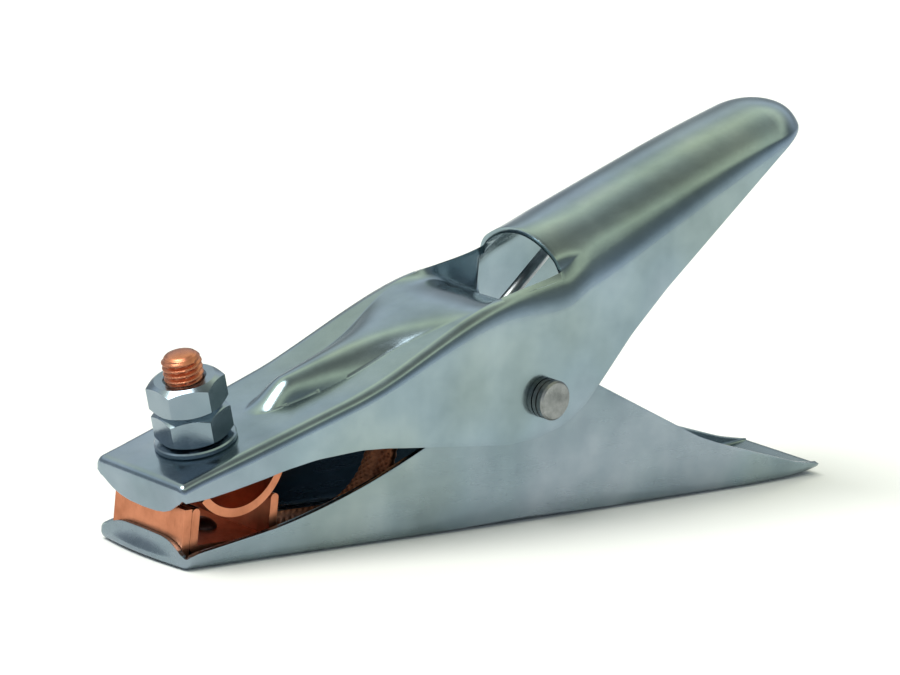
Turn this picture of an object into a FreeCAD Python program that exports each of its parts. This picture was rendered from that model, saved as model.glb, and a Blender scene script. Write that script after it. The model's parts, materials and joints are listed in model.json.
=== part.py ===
import FreeCAD, Part

import math
import os

from FreeCAD import Placement, Rotation, Vector

# Spring-loaded welding ground clamp: two pressed-steel levers on one pivot pin.
# Axes: +X from the jaw to the handle, +Y across the clamp, +Z up from the base.
# Lengths along the clamp are measured from the front face of the lower lever;
# every piece is then shifted by mid_x, which puts the origin under the middle.

DIMENSIONS = {
    # whole clamp
    "mid_x": 112.6,
    "sheet_metal": 1.5,
    "pivot_x": 114.0,
    "pivot_z": 33.5,
    "deck_angle": 18.5,
    # lower lever
    "lower_length": 228.0,
    "lower_front_half": 16.9,
    "lower_pivot_half": 17.85,
    "lower_rear_half": 16.6,
    "lower_tip_half": 14.6,
    "lower_fold": 2.2,
    "lower_lip_height": 6.8,
    "lower_lip_half": 11.2,
    "lower_tip_rise": 1.4,
    "ear_radius": 9.5,
    # upper lever
    "upper_front_x": -3.3,
    "upper_front_z": 21.0,
    "upper_front_half": 16.9,
    "upper_pivot_half": 20.0,
    "upper_tip_half": 16.2,
    "upper_fold": 3.0,
    "lip_drop": 8.8,
    "upper_lip_half": 10.8,
    "crown_rise": 4.7,
    "shoulder_rise": 5.0,
    "rim_rise": 2.8,
    "crown_half": 15.2,
    "crown_sagitta": 6.3,
    "crown_slope": 0.382,
    "shoulder_drop": 9.0,
    "bead_start": 31.0,
    "bead_height": 5.0,
    "scoop_start": 87.0,
    "scoop_depth": 14.2,
    "slit_x": 119.8,
    "dome_start": 198.0,
    "dome_radius": 14.4,
    # pivot
    "pin_dia": 8.0,
    "pin_clearance": 0.06,
    "pin_head_dia": 10.4,
    "pin_head_height": 2.3,
    "collar_height": 1.2,
    "collar_gap": 0.2,
    "sleeve_dia": 11.0,
    "sleeve_bore": 8.1,
    # closing spring
    "wire_dia": 3.2,
    "knuckle_ratio": 1.02,
    "coil_radius": 7.2,
    "coil_turns": 5,
    "coil_pitch": 3.4,
    "coil_shift": -1.5,
    "upper_leg": 60.5,
    "upper_leg_angle": 43.0,
    "lower_leg": 52.8,
    "lower_leg_angle": 27.0,
    # stud, washer and nuts
    "stud_along": 19.1,
    "stud_dia": 10.0,
    "thread_pitch_dia": 9.026,
    "free_thread_from": 17.7,
    "stud_reach": 24.6,
    "stud_chamfer": 1.0,
    "stud_head_across": 15.0,
    "stud_head_height": 4.0,
    "washer_dia": 20.6,
    "washer_height": 1.6,
    "nut_across": 17.0,
    "nut_height": 8.0,
    "nut_face_share": 0.89,
    "nut_countersink": 0.9,
    "washer_chamfer": 0.35,
    "clamp_nut_turn": 19.5,
    "cable_nut_turn": 24.6,
    "thread_gap": 0.05,
    # copper contacts and braided strap
    "contact_half": 13.2,
    "upper_strip": 2.2,
    "arc_radius": 15.1,
    "arc_along": 2.6,
    "arc_below_deck": 1.9,
    "channel_front": 4.1,
    "channel_rear": 31.5,
    "channel_strip": 2.4,
    "channel_base": 2.7,
    "channel_front_top": 14.4,
    "channel_rear_top": 15.6,
    "plate_front": 1.7,
    "rivet_x": 19.0,
    "rivet_dia": 4.8,
    "rivet_head_dia": 7.4,
    "rivet_head_height": 2.4,
    "strap_half": 5.2,
    "strap_height": 3.2,
    "strap_gap": 0.3,
    "strap_loop_x": 60.0,
    "ferrule_height": 1.2,
    "ferrule_half": 10.0,
    "ferrule_front": 10.0,
    "ferrule_rear": 35.0,
    "lug_front": 9.0,
    "lug_rear": 19.0,
}

doc = FreeCAD.newDocument("ground_clamp")
sheet = doc.addObject("Spreadsheet::Sheet", "dims")
for row, (alias, value) in enumerate(DIMENSIONS.items(), start=1):
    sheet.set(f"A{row}", alias)
    sheet.set(f"B{row}", str(value))
    sheet.setAlias(f"B{row}", alias)
doc.recompute()


def dim(alias):
    """Value of one driving dimension, read back from the spreadsheet."""
    return float(getattr(sheet, alias))


SUB_PARTS = []
METAL = dim("sheet_metal")
DECK_TANGENT = math.tan(math.radians(dim("deck_angle")))


def bind(thing, **expressions):
    """Binds properties of an object to expressions over the sheet's cells."""
    for name, expression in expressions.items():
        thing.setExpression(name.replace("__", "."), expression)
    return thing


def keep(thing, label, along_stud=False, from_deck="0"):
    """Names a finished sub-part and places it in the clamp's own frame.

    along_stud stands the piece on the tilted stud axis, from_deck above the
    top of the deck; other pieces are only shifted by mid_x.
    """
    thing.Label = label
    if along_stud:
        thing.Placement = Placement(Vector(), Rotation(Vector(0, -1, 0), dim("deck_angle")))
        foot_x = "dims.upper_front_x + dims.stud_along * cos(dims.deck_angle * 1deg)"
        foot_z = "dims.upper_front_z + dims.stud_along * sin(dims.deck_angle * 1deg)"
        bind(
            thing,
            Placement__Base__x=f"{foot_x} - dims.mid_x - ({from_deck}) * sin(dims.deck_angle * 1deg)",
            Placement__Base__z=f"{foot_z} + ({from_deck}) * cos(dims.deck_angle * 1deg)",
        )
    else:
        bind(thing, Placement__Base__x="-dims.mid_x")
    SUB_PARTS.append(thing)
    return thing


def shape_part(shape, label):
    """Keeps a shape made from curves as a sub-part of the document."""
    thing = doc.addObject("Part::Feature", label)
    thing.Shape = shape.removeSplitter()
    thing.Label = label
    thing.Placement = Placement(Vector(-dim("mid_x"), 0, 0), Rotation())
    SUB_PARTS.append(thing)
    return thing


# ---------------------------------------------------------------- shared geometry


def blend(value, start, end):
    """Smooth 0 to 1 step of value between start and end."""
    t = min(1.0, max(0.0, (value - start) / (end - start)))
    return t * t * (3 - 2 * t)


def steps(value, knots):
    """Piecewise linear value through (position, height) knots."""
    for (x0, y0), (x1, y1) in zip(knots, knots[1:]):
        if value <= x1:
            t = max(0.0, (value - x0) / (x1 - x0))
            return y0 + t * (y1 - y0)
    return knots[-1][1]


def polyline_prism(points, half_width):
    """Polygon in the XZ plane, extruded across the whole clamp."""
    vectors = [Vector(x, -half_width, z) for x, z in points]
    face = Part.Face(Part.makePolygon(vectors + vectors[:1]))
    return face.extrude(Vector(0, 2 * half_width, 0))


def edges_prism(edges, half_width):
    """The same for an outline of lines and arcs, drawn in the plane y = 0."""
    face = Part.Face(Part.Wire(edges))
    face.translate(Vector(0, -half_width, 0))
    return face.extrude(Vector(0, 2 * half_width, 0))


def point(x, z, y=0.0):
    return Vector(x, y, z)


def line(a, b):
    return Part.LineSegment(a, b).toShape()


def arc(a, middle, b):
    return Part.Arc(a, middle, b).toShape()


def pivot_hole():
    """Cylinder along Y through the whole clamp, a running fit on the pivot pin."""
    radius = dim("pin_dia") / 2 + dim("pin_clearance")
    return Part.makeCylinder(radius, 80, Vector(dim("pivot_x"), -40, dim("pivot_z")), Vector(0, 1, 0))


# ---------------------------------------------------------------- lower lever


def lower_half_width(x):
    pivot = dim("pivot_x")
    return steps(
        x,
        [
            (25, dim("lower_front_half")),
            (pivot - 30, dim("lower_pivot_half")),
            (pivot + 16, dim("lower_pivot_half")),
            (200, dim("lower_rear_half")),
            (dim("lower_length"), dim("lower_tip_half")),
        ],
    )


def lower_floor(x):
    """Underside of the floor, which turns up gently at the rear edge."""
    turn = 16.0
    rise = max(0.0, x - dim("lower_length") + turn) / turn
    return dim("lower_tip_rise") * rise * rise


def channel_wire(x, inset, top):
    """Upright U-shaped section of the lower lever, closed along its top."""
    half = lower_half_width(x) - inset
    floor = lower_floor(x) + inset
    radius = dim("lower_fold") - inset
    slack = radius * (1 - math.sqrt(0.5))
    a, b = Vector(x, -half, top), Vector(x, -half, floor + radius)
    c, d = Vector(x, -half + radius, floor), Vector(x, half - radius, floor)
    e, f = Vector(x, half, floor + radius), Vector(x, half, top)
    near = Vector(x, -half + slack, floor + slack)
    far = Vector(x, half - slack, floor + slack)
    return Part.Wire([line(a, b), arc(b, near, c), line(c, d), arc(d, far, e), line(e, f), line(f, a)])


def lower_side_outline():
    """Top edge of the flanges: low at the jaw, an ear at the pivot, low again at the rear."""
    px, pz, ear = dim("pivot_x"), dim("pivot_z"), dim("ear_radius")
    lead = math.radians(28)
    trail = math.radians(24)
    ear_front = point(px - ear * math.sin(lead), pz + ear * math.cos(lead))
    ear_top = point(px, pz + ear)
    ear_rear = point(px + ear * math.sin(trail), pz + ear * math.cos(trail))
    base = -5.0
    length = dim("lower_length")
    rear_line = point(168, ear_rear.z - (168 - ear_rear.x) * math.tan(trail))
    sag_start, sag_end = point(27, 7.6), point(76, 24.0)
    front = [point(0, base), point(0, 3.0), point(4, 4.2), sag_start]
    edges = [line(a, b) for a, b in zip(front, front[1:])]
    edges.append(arc(sag_start, point(51.5, 14.15), sag_end))
    edges.append(line(sag_end, ear_front))
    edges.append(arc(ear_front, ear_top, ear_rear))
    edges.append(line(ear_rear, rear_line))
    edges.append(arc(rear_line, point(176, 16.6), point(186, 13.4)))
    edges.append(line(point(186, 13.4), point(length - 9, 4.9)))
    edges.append(line(point(length - 9, 4.9), point(length, dim("lower_tip_rise") + METAL)))
    edges.append(line(point(length, dim("lower_tip_rise") + METAL), point(length, base)))
    edges.append(line(point(length, base), front[0]))
    return edges


def lower_lip():
    """Front lip: a low trapezoid standing on the front edge of the floor."""
    half, top = dim("lower_front_half"), dim("lower_lip_height")
    corners = [(-half + 0.8, 0), (half - 0.8, 0), (half, 1.8), (dim("lower_lip_half"), top)]
    corners += [(-dim("lower_lip_half"), top), (-half, 1.8)]
    wire = Part.makePolygon([Vector(0, y, z) for y, z in corners + corners[:1]])
    plate = Part.Face(wire).extrude(Vector(METAL, 0, 0))
    bottom_front = [e for e in plate.Edges if e.BoundBox.XMax < 0.01 and e.BoundBox.ZMax < 0.01]
    return plate.makeFillet(1.2, bottom_front)


def make_lower_lever():
    stations = [METAL, 25, 84, 130, 200, 212, 216, 220, 224, dim("lower_length")]
    outer = Part.makeLoft([channel_wire(x, 0, 60) for x in stations], True, True)
    inner = Part.makeLoft([channel_wire(x, METAL, 61) for x in stations], True, True)
    shell = outer.common(edges_prism(lower_side_outline(), 30)).cut(inner)
    relief, above = 1.6, 2.4
    middle = dim("lower_front_half") - 2
    notch = Part.makeBox(relief, 60, 20, Vector(METAL - 0.1, -30, above))
    kept = Part.makeBox(relief, 2 * middle, 20, Vector(METAL - 0.1, -middle, above))
    shell = shell.cut(notch.cut(kept)).fuse(lower_lip())
    shell = shell.cut(pivot_hole())
    rivet_hole = Part.makeCylinder(dim("rivet_dia") / 2, 10, Vector(dim("rivet_x"), 0, -2))
    shape_part(shell.cut(rivet_hole), "lower_lever")


# ---------------------------------------------------------------- upper lever


def dome(x):
    """Shrinks the handle's section to nothing over its rounded end."""
    reach = max(0.0, x - dim("dome_start")) / dim("dome_radius")
    return math.sqrt(max(0.0, 1 - reach * reach))


def upper_half_width(x):
    pivot = dim("pivot_x")
    knots = [
        (4, dim("upper_front_half")),
        (60, dim("upper_pivot_half")),
        (pivot + 16, dim("upper_pivot_half")),
        (dim("dome_start"), dim("upper_tip_half")),
    ]
    return steps(x, knots) * dome(x)


def deck_level(x):
    return dim("upper_front_z") + DECK_TANGENT * (x - dim("upper_front_x"))


def shoulder_raise(x):
    """How far the shoulders stand over the deck's plane, falling again to the slit's rim."""
    fall = dim("shoulder_rise") - dim("rim_rise")
    return dim("shoulder_rise") * blend(x, 48, 94) - fall * blend(x, 94, dim("slit_x"))


def ridge_level(x):
    """Height of the shoulder line, where the top meets the fold down to the flange."""
    slit = dim("slit_x")
    if x < slit:
        return deck_level(x) + shoulder_raise(x)
    level = deck_level(slit) + dim("crown_rise") + dim("crown_slope") * (x - slit)
    return level - 2.0 * (1 - dome(x)) - 0.001 * max(0.0, x - 165) ** 2


def ridge_half(x):
    """Distance of the shoulder line from the middle."""
    half = upper_half_width(x)
    flat = half - dim("upper_fold")
    if x < dim("slit_x"):
        return flat + (dim("crown_half") - flat) * blend(x, 60, dim("slit_x"))
    return dim("crown_half") * min(1.0, half / dim("upper_tip_half"))


def top_height(x, q, handle):
    """Height of the top above the shoulder line; q runs from 0 in the middle to 1 there."""
    if handle:
        return dim("crown_sagitta") * (1 - q * q) * dome(x)
    slit, start = dim("slit_x"), dim("bead_start")
    height = 0.0
    if x > start:
        foot = 17.0 * math.sqrt((x - start) / (slit - start))
        reach = min(1.0, q * ridge_half(x) / foot)
        rise = dim("bead_height") * blend(x, start, start + 12) - shoulder_raise(x)
        height += max(0.0, rise) * (1 - reach ** 2.5) ** 1.2
    if x > dim("scoop_start"):
        depth = dim("scoop_depth") * blend(x, dim("scoop_start"), 2 * slit - dim("scoop_start")) * 2
        height -= depth * (1 - q ** 6)
    return height


def upper_section(x, inset, handle):
    """Points of the pressed top at one station, from the near flange to the far one.

    Each half is the top out to the shoulder line, then a fold down to the flange.
    inset moves the whole line inwards, square to itself.
    """
    half, ridge, level = upper_half_width(x), ridge_half(x), ridge_level(x)
    width = half - ridge
    share = blend(x, 60, dim("slit_x"))
    drop = dim("upper_fold") + (dim("shoulder_drop") - dim("upper_fold")) * share
    slope = 0.0
    if handle:
        drop = 4.0 + (dim("shoulder_drop") - 4.0) * width / (dim("upper_pivot_half") - dim("crown_half"))
        slope = -2 * dim("crown_sagitta") * dome(x) / ridge
    points = [(q * ridge, level + top_height(x, q, handle)) for q in [0, 0.2, 0.4, 0.55, 0.7, 0.82, 0.92, 1]]
    for t in [0.25, 0.5, 0.75, 1]:
        y = (1 - t) ** 2 * ridge + 2 * t * (1 - t) * half + t * t * half
        bend = level + slope * width
        z = (1 - t) ** 2 * level + 2 * t * (1 - t) * bend + t * t * (level - drop)
        points.append((y, z))
    points = [(-y, z) for y, z in reversed(points[1:])] + points
    moved = []
    last = len(points) - 1
    for i, (y, z) in enumerate(points):
        (y0, z0), (y1, z1) = points[max(0, i - 1)], points[min(last, i + 1)]
        if i in (0, last):
            normal = (1.0 if i == 0 else -1.0, 0.0)
        else:
            size = math.hypot(y1 - y0, z1 - z0)
            normal = ((z1 - z0) / size, -(y1 - y0) / size)
        moved.append((y + inset * normal[0], z + inset * normal[1]))
    return moved


def upper_wire(x, inset, bottom, handle):
    points = [Vector(x, y, z) for y, z in upper_section(x, inset, handle)]
    curve = Part.BSplineCurve()
    curve.interpolate(points)
    near, far = points[0], points[-1]
    near_foot, far_foot = Vector(x, near.y, bottom), Vector(x, far.y, bottom)
    return Part.Wire([curve.toShape(), line(far, far_foot), line(far_foot, near_foot), line(near_foot, near)])


def upper_volume(inset, bottom):
    """Solid under the pressed top: the deck as far as the slit, then the handle."""
    slit, start = dim("slit_x"), dim("dome_start")
    front = dim("upper_front_x") - 1
    deck = [front, 4, 18, 31, 33, 36, 40, 46, 53, 60, 68, 76, 82, 88, 94, 100, 106, 112, slit]
    handle = [slit, 130, 142, 155, 165, 175, 185, start]
    reaches = (0.4, 0.65) if inset else (0.4, 0.65, 0.83, 0.93, 0.98)
    handle += [start + dim("dome_radius") * reach for reach in reaches]
    pieces = [
        Part.makeLoft([upper_wire(x, inset, bottom, False) for x in deck], True, True),
        Part.makeLoft([upper_wire(x, inset, bottom, True) for x in handle], True, True),
    ]
    return pieces[0].fuse(pieces[1])


def upper_side_outline():
    """Front lip, lower edge of the flanges, ear at the pivot and sloping rear edge."""
    angle = math.radians(dim("deck_angle"))
    front, level = dim("upper_front_x"), dim("upper_front_z")
    down = Vector(math.sin(angle), 0, -math.cos(angle))
    inward = Vector(math.cos(angle), 0, math.sin(angle))
    corner = point(front, level)
    fold = 2.2
    fold_low = corner + down * fold
    fold_high = corner + inward * fold
    fold_mid = corner + (down + inward) * (fold * (1 - math.sqrt(0.5)))
    lip_foot = corner + down * dim("lip_drop")
    lip_back = lip_foot + inward * METAL
    lip_root = corner + down * 4.6 + inward * METAL
    top = 130
    edges = [arc(fold_high, fold_mid, fold_low), line(fold_low, lip_foot), line(lip_foot, lip_back)]
    edges.append(line(lip_back, lip_root))
    edge = [lip_root, point(5, 17.8), point(29, 23.2)]
    edges += [line(a, b) for a, b in zip(edge, edge[1:])]
    edges.append(arc(point(29, 23.2), point(52, 25.9), point(68, 25.0)))
    edges.append(line(point(68, 25.0), point(102, 22.2)))
    edges.append(arc(point(102, 22.2), point(121.5, 25.6), point(134, 36.2)))
    edges.append(arc(point(134, 36.2), point(144, 47.6), point(156, 58.6)))
    edges.append(line(point(156, 58.6), point(196, 90.6)))
    edges.append(arc(point(196, 90.6), point(204, 95.2), point(213, 97.6)))
    rest = [point(213, 97.6), point(216, 98.0), point(216, top), point(fold_high.x, top), fold_high]
    edges += [line(a, b) for a, b in zip(rest, rest[1:])]
    return edges


def lip_corner(side):
    """Wedge that trims one end of the upper lip to a slant."""
    front, level, half = dim("upper_front_x"), dim("upper_front_z"), dim("upper_front_half")
    foot = level - dim("lip_drop")
    outline = [(dim("upper_lip_half"), foot - 2), (dim("upper_lip_half"), foot + 0.3)]
    outline += [(half - 0.4, level - 2.6), (half + 4, level - 2.6), (half + 4, foot - 2)]
    corners = [Vector(front - 3, side * y, z) for y, z in outline]
    return Part.Face(Part.makePolygon(corners + corners[:1])).extrude(Vector(6.2, 0, 0))


def make_upper_lever():
    outer = upper_volume(0, -4).common(edges_prism(upper_side_outline(), 30))
    inner = upper_volume(METAL, -6)
    angle = math.radians(dim("deck_angle"))
    inward = Vector(math.cos(angle), 0, math.sin(angle))
    down = Vector(math.sin(angle), 0, -math.cos(angle))
    corner = point(dim("upper_front_x"), dim("upper_front_z"))
    back = corner + inward * METAL
    ahead = [back - down * 20, back + down * 40, Vector(-30, 0, back.z - 40), Vector(-30, 0, back.z + 20)]
    inner = inner.cut(polyline_prism([(v.x, v.z) for v in ahead], 30))
    shell = outer.cut(inner)
    for side in (-1, 1):
        shell = shell.cut(lip_corner(side))
    shell = shell.cut(pivot_hole())
    foot = corner + inward * dim("stud_along")
    stud_hole = Part.makeCylinder(dim("stud_dia") / 2 + 0.2, 12, foot + down * 6, down * -1)
    shape_part(shell.cut(stud_hole), "upper_lever")


# ---------------------------------------------------------------- pieces from primitives


def cylinder(name, radius, height, start="0"):
    """Cylinder on its own Z axis; every size is an expression over the sheet."""
    thing = doc.addObject("Part::Cylinder", name)
    return bind(thing, Radius=radius, Height=height, Placement__Base__z=start)


def cone(name, radius_low, radius_high, height, start="0"):
    thing = doc.addObject("Part::Cone", name)
    return bind(thing, Radius1=radius_low, Radius2=radius_high, Height=height, Placement__Base__z=start)


def hexagon(name, across_flats, height, start="0"):
    thing = doc.addObject("Part::Prism", name)
    thing.Polygon = 6
    radius = f"{across_flats} / 2 / cos(30deg)"
    return bind(thing, Circumradius=radius, Height=height, Placement__Base__z=start)


def joined(name, things):
    fused = doc.addObject("Part::MultiFuse", name)
    fused.Shapes = things
    fused.Refine = True
    return fused


def overlap(name, things):
    common = doc.addObject("Part::MultiCommon", name)
    common.Shapes = things
    return common


def bored(name, thing, tool):
    cut = doc.addObject("Part::Cut", name)
    cut.Base = thing
    cut.Tool = tool
    return cut


def keep_across(thing, label):
    """Lays a piece along the pivot axis: its own +Z points to the near side, -Y."""
    thing.Label = label
    thing.Placement = Placement(Vector(), Rotation(Vector(1, 0, 0), 90))
    bind(thing, Placement__Base__x="dims.pivot_x - dims.mid_x", Placement__Base__z="dims.pivot_z")
    SUB_PARTS.append(thing)
    return thing


def make_pivot():
    """Headed pin, a loose collar at each end, a push-on cap and the spring's sleeve."""
    pin = "dims.pin_dia / 2"
    head = "dims.pin_head_dia / 2"
    bore = "dims.pin_dia / 2 + dims.pin_clearance"
    seat = "(dims.upper_pivot_half + dims.collar_gap + dims.collar_height)"
    rim = 0.5
    grip = "dims.pin_head_height * 0.7"
    shank = cylinder("pin_shank", pin, f"2 * {seat} + {grip}", f"-{seat} - {grip}")
    lead = cone("pin_head_lead", f"{head} - {rim}", head, f"{rim}", seat)
    band = cylinder("pin_head_band", head, f"dims.pin_head_height - {2 * rim}", f"{seat} + {rim}")
    face_start = f"{seat} + dims.pin_head_height - {rim}"
    face = cone("pin_head_face", head, f"{head} - {rim}", f"{rim}", face_start)
    keep_across(joined("pin", [shank, lead, band, face]), "pivot_pin")
    for side, start in (("near", "dims.upper_pivot_half + dims.collar_gap"), ("far", f"-{seat}")):
        ring = cylinder(f"{side}_collar_ring", head, "dims.collar_height", start)
        hole = cylinder(f"{side}_collar_hole", bore, "dims.collar_height + 2", f"{start} - 1")
        keep_across(bored(f"{side}_collar", ring, hole), f"{side}_pivot_collar")
    cap = cylinder("cap_band", head, "dims.pin_head_height - 0.8", f"-{seat} - dims.pin_head_height + 0.8")
    crown = cone("cap_crown", f"{head} - 0.8", head, "0.8", f"-{seat} - dims.pin_head_height")
    socket = cylinder("cap_socket", bore, f"{grip} + 1", f"-{seat} - {grip}")
    keep_across(bored("cap", joined("cap_outside", [cap, crown]), socket), "pivot_end_cap")
    reach = "(dims.lower_pivot_half - dims.sheet_metal - 0.2)"
    tube = cylinder("sleeve_tube", "dims.sleeve_dia / 2", f"2 * {reach}", f"-{reach}")
    inside = cylinder("sleeve_inside", "dims.sleeve_bore / 2", f"2 * {reach} + 2", f"-{reach} - 1")
    keep_across(bored("sleeve", tube, inside), "pivot_sleeve")


def make_stud():
    """Hexagon-headed stud through the deck, its flat washer and its two nuts.

    The thread stands at its pitch diameter where the nuts hold it, and at its full
    diameter on the free end above them.
    """
    under = "(dims.sheet_metal + dims.ferrule_height + dims.upper_strip)"
    radius = "dims.stud_dia / 2"
    held = "dims.thread_pitch_dia / 2"
    shank = cylinder("stud_shank", held, f"{under} + dims.free_thread_from", f"-{under}")
    free_height = "dims.stud_reach - dims.stud_chamfer - dims.free_thread_from"
    free = cylinder("stud_free_thread", radius, free_height, "dims.free_thread_from")
    tip_start = "dims.stud_reach - dims.stud_chamfer"
    tip = cone("stud_tip", radius, f"{radius} - dims.stud_chamfer", "dims.stud_chamfer", tip_start)
    head_start = f"-{under} - dims.stud_head_height"
    head = hexagon("stud_head", "dims.stud_head_across", "dims.stud_head_height", head_start)
    keep(joined("stud", [shank, free, tip, head]), "stud_bolt", True)
    bore = f"{held} + dims.thread_gap"
    edge = "dims.washer_dia / 2"
    slant = "dims.washer_chamfer"
    low = cone("washer_low", f"{edge} - {slant}", edge, slant)
    band = cylinder("washer_band", edge, f"dims.washer_height - 2 * {slant}", slant)
    high = cone("washer_high", edge, f"{edge} - {slant}", slant, f"dims.washer_height - {slant}")
    ring = joined("washer_ring", [low, band, high])
    hole = cylinder("washer_hole", f"{radius} + 0.25", "dims.washer_height + 2", "-1")
    keep(bored("washer", ring, hole), "stud_washer", True)
    for label, level in (("clamp_nut", "0"), ("cable_nut", "dims.nut_height")):
        keep(nut(label, bore), label, True, f"dims.washer_height + {level}")


def nut(label, bore):
    """Hexagon nut, both faces chamfered by a cone and countersunk at the thread."""
    block = hexagon(f"{label}_block", "dims.nut_across", "dims.nut_height")
    block.Placement.Rotation = Rotation(Vector(0, 0, 1), dim(f"{label}_turn"))
    face = "dims.nut_across / 2 * dims.nut_face_share"
    corner = "dims.nut_across / 2 / cos(30deg) + 0.05"
    fall = f"(({corner} - {face}) * tan(30deg))"
    low = cone(f"{label}_low", face, corner, fall)
    middle = cylinder(f"{label}_middle", corner, f"dims.nut_height - 2 * {fall}", fall)
    high = cone(f"{label}_high", corner, face, fall, f"dims.nut_height - {fall}")
    barrel = joined(f"{label}_barrel", [low, middle, high])
    hole = cylinder(f"{label}_hole", bore, "dims.nut_height + 2", "-1")
    sink = "dims.nut_countersink"
    wide = f"{bore} + {sink}"
    sink_low = cone(f"{label}_sink_low", wide, bore, sink)
    sink_high = cone(f"{label}_sink_high", bore, wide, sink, f"dims.nut_height - {sink}")
    tool = joined(f"{label}_bore", [hole, sink_low, sink_high])
    return bored(f"{label}_bored", overlap(f"{label}_body", [block, barrel]), tool)


# ---------------------------------------------------------------- copper pieces


def stud_frame():
    """Placement of the stud axis: origin on top of the deck, +Z up the stud, +X up the deck."""
    angle = math.radians(dim("deck_angle"))
    along = dim("stud_along")
    foot_x = dim("upper_front_x") + along * math.cos(angle)
    foot_z = dim("upper_front_z") + along * math.sin(angle)
    return Placement(Vector(foot_x, 0, foot_z), Rotation(Vector(0, -1, 0), dim("deck_angle")))


def make_upper_contact():
    """Copper strip rolled into a D: a flat held under the deck, an arc facing the work."""
    thick, radius = dim("upper_strip"), dim("arc_radius")
    top = -dim("sheet_metal") - dim("ferrule_height")
    centre = point(dim("arc_along"), -dim("arc_below_deck"))
    bend = 3.2
    root = top - bend
    outer_x = centre.x + math.sqrt(radius**2 - (root - centre.z) ** 2)
    inner = radius - thick
    inner_x = centre.x + math.sqrt(inner**2 - (root - centre.z) ** 2)
    diagonal = math.sqrt(0.5)
    turn = point(outer_x - bend, root)
    bend_middle = turn + point(bend * diagonal, bend * diagonal)
    nose = Vector(-math.cos(math.radians(25)), 0, -math.sin(math.radians(25)))
    outer_end, inner_end = centre + nose * radius, centre + nose * inner
    front = -dim("lug_front")
    flat_low = top - thick
    edges = [
        line(point(front, top), point(turn.x, top)),
        arc(point(turn.x, top), bend_middle, point(outer_x, root)),
        arc(point(outer_x, root), centre - point(0, radius), outer_end),
        line(outer_end, inner_end),
        arc(inner_end, centre - point(0, inner), point(inner_x, root)),
        line(point(inner_x, root), point(turn.x, flat_low)),
        line(point(turn.x, flat_low), point(front, flat_low)),
        line(point(front, flat_low), point(front, top)),
    ]
    shape = edges_prism(edges, dim("contact_half"))
    hole = Part.makeCylinder(dim("stud_dia") / 2 + 0.1, 10, Vector(0, 0, flat_low - 3))
    place_on_stud(shape.cut(hole), "upper_contact")


def place_on_stud(shape, label):
    """Keeps a curved piece that is drawn in the stud's own frame."""
    shape.Placement = stud_frame()
    shape_part(shape, label)


def make_lower_contact():
    """Copper channel on the floor of the lower lever, open upwards under the arc."""
    front, rear, thick = dim("channel_front"), dim("channel_rear"), dim("channel_strip")
    base, front_top, rear_top = dim("channel_base"), dim("channel_front_top"), dim("channel_rear_top")
    bend = 2.6
    diagonal = bend * (1 - math.sqrt(0.5))
    tip = thick / 2
    edges = [
        arc(point(front, base + bend), point(front + diagonal, base + diagonal), point(front + bend, base)),
        line(point(front + bend, base), point(rear - bend, base)),
        arc(point(rear - bend, base), point(rear - diagonal, base + diagonal), point(rear, base + bend)),
        line(point(rear, base + bend), point(rear, rear_top - tip)),
        arc(point(rear, rear_top - tip), point(rear - tip, rear_top), point(rear - thick, rear_top - tip)),
        line(point(rear - thick, rear_top - tip), point(rear - thick, base + thick)),
        line(point(rear - thick, base + thick), point(front + thick, base + thick)),
        line(point(front + thick, base + thick), point(front + thick, front_top - tip)),
        arc(point(front + thick, front_top - tip), point(front + tip, front_top), point(front, front_top - tip)),
        line(point(front, front_top - tip), point(front, base + bend)),
    ]
    shape = edges_prism(edges, dim("contact_half"))
    hole = Part.makeCylinder(dim("rivet_dia") / 2, 10, Vector(dim("rivet_x"), 0, base - 2))
    shape_part(shape.cut(hole), "lower_contact")


def make_front_plate():
    """Copper wear plate standing between the front lip and the channel."""
    plate = doc.addObject("Part::Box", "plate_block")
    bind(
        plate,
        Length="dims.channel_front - 0.1 - dims.plate_front",
        Width="2 * dims.contact_half",
        Height="dims.channel_front_top - dims.sheet_metal - 0.1",
        Placement__Base__x="dims.plate_front - dims.mid_x",
        Placement__Base__y="-dims.contact_half",
        Placement__Base__z="dims.sheet_metal + 0.1",
    )
    plate.Label = "front_contact_plate"
    SUB_PARTS.append(plate)


def make_rivet():
    """Round-headed rivet through the channel, the strap's ferrule and the floor."""
    seat = dim("channel_base") + dim("channel_strip")
    radius, head, height = dim("rivet_dia") / 2, dim("rivet_head_dia") / 2, dim("rivet_head_height")
    x = dim("rivet_x")
    skirt = 0.6
    rise = height - skirt
    ball = (head ** 2 + rise ** 2) / (2 * rise)
    centre = seat + height - ball
    half_angle = math.asin(head / ball) / 2
    crown = point(x + ball * math.sin(half_angle), centre + ball * math.cos(half_angle))
    edges = [
        line(point(x, 0), point(x + radius, 0)),
        line(point(x + radius, 0), point(x + radius, seat)),
        line(point(x + radius, seat), point(x + head, seat)),
        line(point(x + head, seat), point(x + head, seat + skirt)),
        arc(point(x + head, seat + skirt), crown, point(x, seat + height)),
        line(point(x, seat + height), point(x, 0)),
    ]
    face = Part.Face(Part.Wire(edges))
    shape_part(face.revolve(Vector(x, 0, 0), Vector(0, 0, 1), 360), "contact_rivet")


def strap_path():
    """Middle line of the strap: along the floor, round a loop, back under the deck.

    Returns the two straight ends, the loop's centre and its radius.
    """
    angle = math.radians(dim("deck_angle"))
    run = METAL + dim("strap_gap") + dim("strap_height") / 2
    centre_x = dim("strap_loop_x")
    room = (deck_level(centre_x) - run) * math.cos(angle) - run
    radius = room / (1 + math.cos(angle))
    centre = point(centre_x, run + radius)
    first = point(dim("ferrule_rear"), run)
    last = stud_frame().multVec(point(dim("lug_rear"), -run))
    return first, last, centre, radius


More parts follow.
